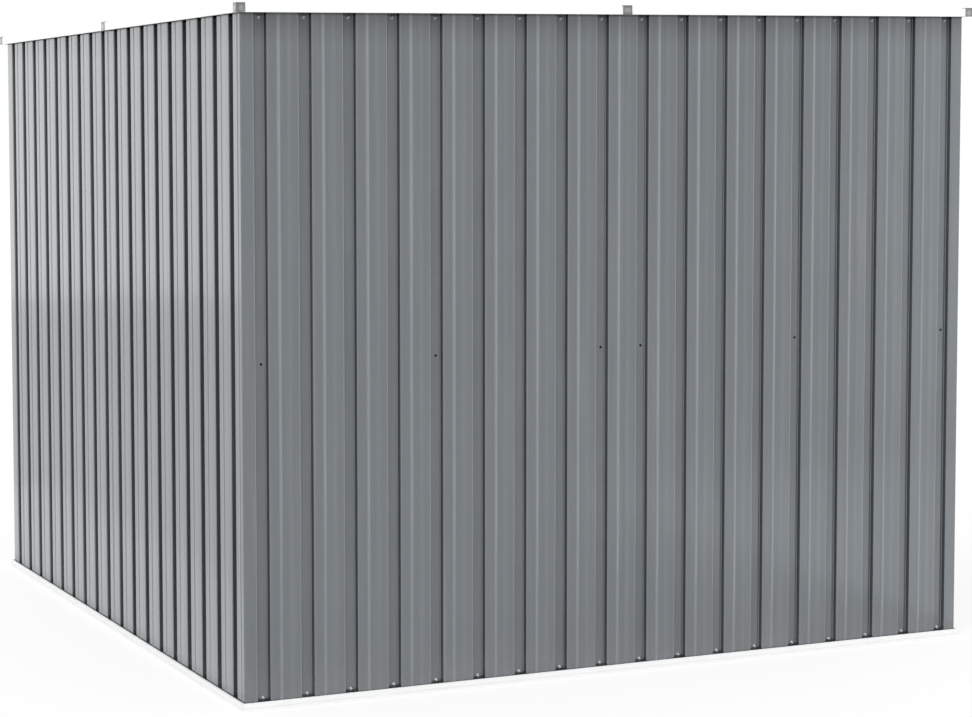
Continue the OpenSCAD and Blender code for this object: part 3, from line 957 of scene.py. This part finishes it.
def build_floor():
    size = 120.0
    bm = bmesh.new()
    bmesh.ops.create_grid(bm, x_segments=1, y_segments=1, size=size)
    mesh = bpy.data.meshes.new("studio_floor")
    bm.to_mesh(mesh)
    bm.free()
    floor = bpy.data.objects.new("studio_floor", mesh)
    SCENE.collection.objects.link(floor)
    material, n, shader, place = new_material("Pale floor")
    soft = n.remap(n.noise(place, 0.8, 2.0, 0.5), 0.3, 0.7, 0.955, 0.965)
    n.feed(shader.inputs["Base Color"], tinted(n, (1.0, 1.0, 1.0), soft))
    shader.inputs["Roughness"].default_value = 0.9
    shader.inputs["Specular IOR Level"].default_value = 0.0
    white = n.add("ShaderNodeEmission", {"Color": (1.0, 1.0, 1.0, 1.0), "Strength": 1.0})
    # Inside the shed the floor keeps its own shade
    across = n.add("ShaderNodeSeparateXYZ", {"Vector": place})
    past_side = n.math("GREATER_THAN", n.math("ABSOLUTE", across.outputs["X"]), WALL_W / 2)
    past_end = n.math("GREATER_THAN", n.math("ABSOLUTE", across.outputs["Y"]), WALL_D / 2)
    whitened = n.math("MULTIPLY", n.math("MAXIMUM", past_side, past_end), FLOOR_WHITE)
    mixed = n.add("ShaderNodeMixShader", {"Fac": n.math("MULTIPLY", seen_directly(n), whitened)})
    n.feed(mixed.inputs[1], shader.outputs["BSDF"])
    n.feed(mixed.inputs[2], white.outputs["Emission"])
    n.feed(n.output.inputs["Surface"], mixed.outputs["Shader"])
    mesh.materials.append(material)


def build_world(diffuse_level):
    """A white surround: at full strength where it shows or is reflected, softer as light."""
    world = bpy.data.worlds.new("Studio")
    world.use_nodes = True
    world.node_tree.nodes.clear()
    n = Nodes(world.node_tree)
    strength = n.remap(seen_directly(n), 0.0, 1.0, diffuse_level, 1.0)
    background = n.add("ShaderNodeBackground", {"Color": (1.0, 1.0, 1.0, 1.0), "Strength": strength})
    output = n.add("ShaderNodeOutputWorld")
    n.feed(output.inputs["Surface"], background.outputs["Background"])
    SCENE.world = world


def soft_sun(name, towards_light, level, angle):
    """A broad distant light. level is what it adds to a white surface that faces it."""
    light = bpy.data.lights.new(name, "SUN")
    light.energy = level * math.pi
    light.angle = math.radians(angle)
    lamp = bpy.data.objects.new(name, light)
    lamp.rotation_mode = "QUATERNION"
    lamp.rotation_quaternion = Vector(towards_light).to_track_quat("Z", "Y")
    SCENE.collection.objects.link(lamp)


def soft_box(name, centre, aim, width, height, radiance):
    """A flat lamp panel of an even brightness, unseen by the camera."""
    light = bpy.data.lights.new(name, "AREA")
    light.shape = "RECTANGLE"
    light.size = width
    light.size_y = height
    light.energy = radiance * math.pi * width * height
    lamp = bpy.data.objects.new(name, light)
    lamp.location = centre
    lamp.rotation_mode = "QUATERNION"
    lamp.rotation_quaternion = (Vector(centre) - Vector(aim)).to_track_quat("Z", "Y")
    lamp.visible_camera = False
    SCENE.collection.objects.link(lamp)


def build_lights():
    build_world(0.85)
    soft_sun("High soft light", (0.25, 0.45, 0.86), 0.32, 40.0)
    soft_sun("Side fill", (1.0, 0.0, 0.25), 0.10, 118.0)
    soft_box("Front corner panel", (2.5, -4.75, 1.92), (1.2, 0.0, 1.92), 4.2, 3.0, 0.36)
    soft_box("Back left panel", (-4.1, 3.5, 1.7), (-0.3, 0.97, 1.7), 3.2, 3.4, 0.33)
    soft_box("Back right panel", (4.3, 9.1, 2.0), (0.5, 0.97, 2.0), 6.5, 4.0, 0.10)
    soft_box("Low side panel", (1.20, -0.7, 0.022), (1.20, -0.7, 1.0), 0.44, 3.2, 0.17)
    soft_box("Low far panel", (-2.0, 2.2, 0.022), (-2.0, 2.2, 1.0), 2.0, 2.36, 0.28)


def build_camera():
    camera = bpy.data.cameras.new("View")
    camera.lens = 102.1
    camera.sensor_width = 36.0
    camera.shift_x = -0.0075
    camera.shift_y = -0.09
    camera.clip_end = 500.0
    view = bpy.data.objects.new("View", camera)
    pitch = math.radians(4.551)
    yaw = math.radians(25.051)
    view.location = (3.038, 6.7485, 1.4837)
    view.rotation_euler = (math.radians(90) - pitch, 0.0, math.radians(180) - yaw)
    SCENE.collection.objects.link(view)
    SCENE.camera = view


build_walls()
build_doors()
build_roof_sheets()
build_folded_pieces()
build_screws()
build_roof_screws()
build_floor()
build_lights()
build_camera()

SCENE.view_settings.view_transform = "Standard"

bpy.context.view_layer.update()
